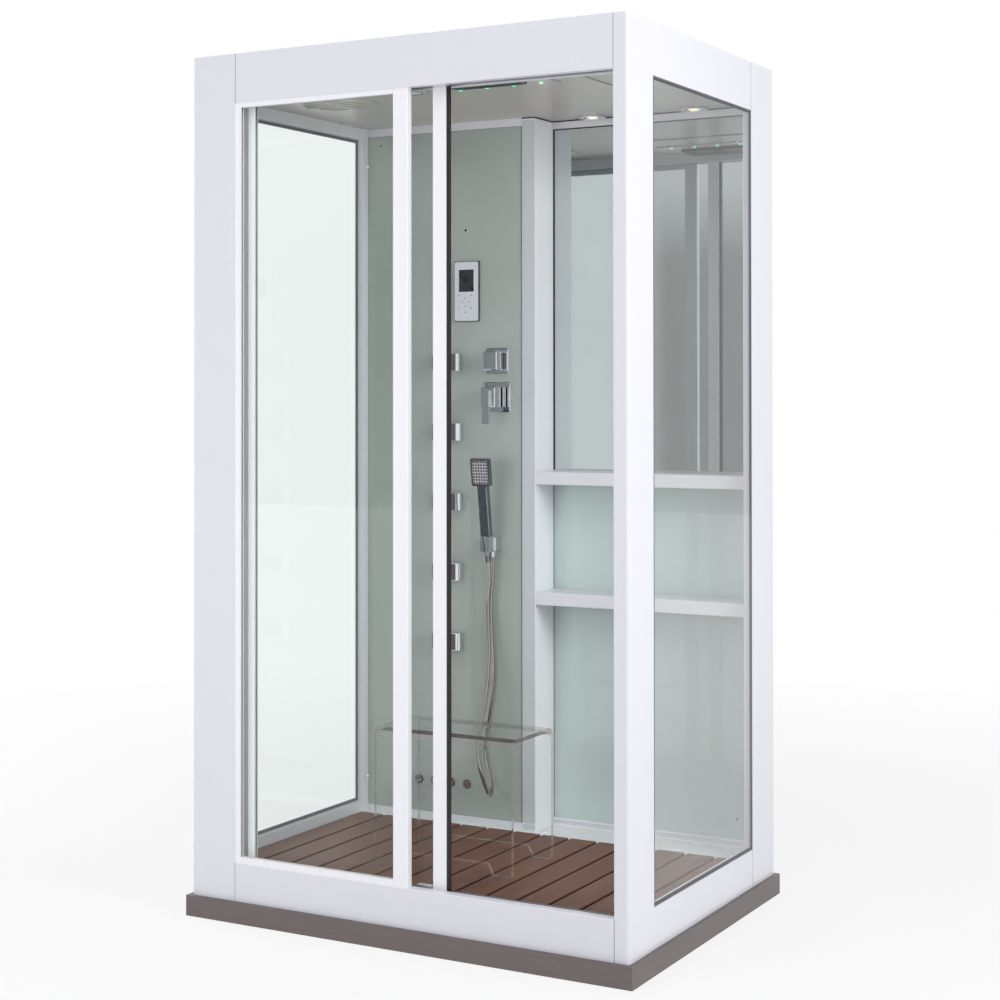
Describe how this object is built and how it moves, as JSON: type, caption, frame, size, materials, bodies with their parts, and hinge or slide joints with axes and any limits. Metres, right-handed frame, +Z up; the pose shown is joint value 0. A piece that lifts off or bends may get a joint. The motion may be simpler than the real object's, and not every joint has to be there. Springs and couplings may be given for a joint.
{
  "type": "steam shower cabin",
  "caption": "Framed glass steam shower cabin with a sliding door, service tower with jets and hand shower, shelved mirror recess, wooden duckboard and clear stool.",
  "frame": {"origin": "on the floor under the middle of the cabin", "axes": "+Z up, -Y out through the door side, +X to the right seen from the front"},
  "size_m": [1.2, 0.89, 2.1],
  "materials": {
    "plinth_steel": "brushed along its length",
    "zinc_frame": "dull zinc paint",
    "foot_rubber": "matt black",
    "tray_acrylic": "gloss white",
    "drain_plastic": "matt grey",
    "chrome": "polished",
    "white_frame": "satin white coating on aluminium",
    "track_aluminium": "satin",
    "roof_plastic": "matt white",
    "ceiling_plastic": "soft gloss off-white",
    "clear_glass": "clear toughened",
    "black_rubber": "matt black",
    "back_sheet": "plain white sheet",
    "mirror_glass": "silvered",
    "painted_glass": "back-painted grey green, opaque",
    "shelf_plastic": "gloss white",
    "pad_plastic": "light grey",
    "screen_glass": "dark, smooth",
    "nozzle_plastic": "grey",
    "brass": "plain",
    "pipe_copper": "plain copper-coloured",
    "boiler_steel": "satin",
    "rain_metal": "dark satin",
    "lamp_lens": "frosted",
    "fan_plastic": "matt grey",
    "wheel_nylon": "smooth white",
    "wood": "oiled hardwood, fine grain",
    "clear_acrylic": "clear, polished edges"
  },
  "bodies": {
    "cabin": {"plinth_skirt": "plinth_steel", "base_frame": "zinc_frame", "levelling_feet": "foot_rubber", "shower_tray": "tray_acrylic", "drain_trap": "drain_plastic", "drain_grate": "chrome", "corner_post_front_left": "white_frame", "corner_post_front_right": "white_frame", "corner_posts_back": "white_frame", "header_front": "white_frame", "header_rails": "white_frame", "sill_front": "white_frame", "sill_rails": "white_frame", "roof_cover": "roof_plastic", "ceiling_panel": "ceiling_plastic", "side_glass": "clear_glass", "fixed_front_glass": "clear_glass", "rubber_seals": "black_rubber", "fixed_glass_profiles": "white_frame", "door_tracks": "track_aluminium", "back_panels": "back_sheet", "mirror": "mirror_glass", "recess_glass": "painted_glass", "inner_trims": "white_frame", "shelves": "shelf_plastic", "tower_glass": "painted_glass", "tower_column": "white_frame", "control_pad": "pad_plastic", "control_screen": "screen_glass", "body_jets": "chrome", "jet_nozzle_pads": "nozzle_plastic", "foot_jets": "chrome", "valve_plates": "chrome", "valve_bodies": "brass", "water_pipes": "pipe_copper", "steam_generator": "boiler_steel", "wall_outlet": "chrome", "hose_nut_wall": "chrome", "shower_hose": "chrome", "rain_head": "rain_metal", "ceiling_lamps": "lamp_lens", "downlight_rings": "chrome", "fan_grille": "ceiling_plastic", "fan_housing": "fan_plastic"},
    "fan": {"fan_impeller": "fan_plastic"},
    "door": {"door_glass": "clear_glass", "door_lead_stile": "white_frame", "door_trail_stile": "white_frame", "door_seal": "black_rubber", "door_hangers": "boiler_steel"},
    "left_wheel": {"roller_left": "wheel_nylon"},
    "right_wheel": {"roller_right": "wheel_nylon"},
    "mixer": {"mixer_collar": "chrome"},
    "lever": {"mixer_lever": "chrome"},
    "diverter": {"diverter_knob": "chrome"},
    "handset": {"handset_body": "chrome", "spray_plate": "nozzle_plastic"},
    "duckboard": {"duckboard_slats": "wood", "duckboard_battens": "wood"},
    "stool": {"stool": "clear_acrylic"}
  },
  "joints": [
    {"name": "door_slide", "type": "slide", "parent": "cabin", "child": "door", "axis": [1, 0, 0], "range_m": [0, 0.4305]},
    {"name": "left_wheel_spin", "type": "hinge", "parent": "door", "child": "left_wheel", "pos_m": [-0.38, -0.379, 2.0168], "axis": [0, 1, 0], "range_deg": [-10, 1990]},
    {"name": "right_wheel_spin", "type": "hinge", "parent": "door", "child": "right_wheel", "pos_m": [0.046, -0.379, 2.0168], "axis": [0, 1, 0], "range_deg": [-10, 1990]},
    {"name": "mixer_turn", "type": "hinge", "parent": "cabin", "child": "mixer", "pos_m": [-0.148, 0.308, 1.2645], "axis": [0, 1, 0], "range_deg": [-45, 45]},
    {"name": "mixer_lift", "type": "hinge", "parent": "mixer", "child": "lever", "pos_m": [-0.148, 0.305, 1.2645], "axis": [-1, 0, 0], "range_deg": [0, 18]},
    {"name": "diverter_turn", "type": "hinge", "parent": "cabin", "child": "diverter", "pos_m": [-0.148, 0.308, 1.3615], "axis": [0, 1, 0], "range_deg": [-60, 60]},
    {"name": "handset_lift", "type": "slide", "parent": "cabin", "child": "handset", "axis": [0, -0.1392, 0.9903], "range_m": [0, 0.05]},
    {"name": "fan_spin", "type": "hinge", "parent": "cabin", "child": "fan", "pos_m": [-0.366, -0.138, 2.03], "axis": [0, 0, 1], "continuous": true},
    {"name": "duckboard_lift", "type": "slide", "parent": "cabin", "child": "duckboard", "axis": [0, 0, 1], "range_m": [0, 0.06]},
    {"name": "stool_shift", "type": "slide", "parent": "duckboard", "child": "stool", "axis": [1, 0, 0], "range_m": [-0.15, 0.15]}
  ],
  "couplings": [
    {"joint": "left_wheel_spin", "follows": "door_slide", "rad_per_m": 80},
    {"joint": "right_wheel_spin", "follows": "door_slide", "rad_per_m": 80}
  ]
}
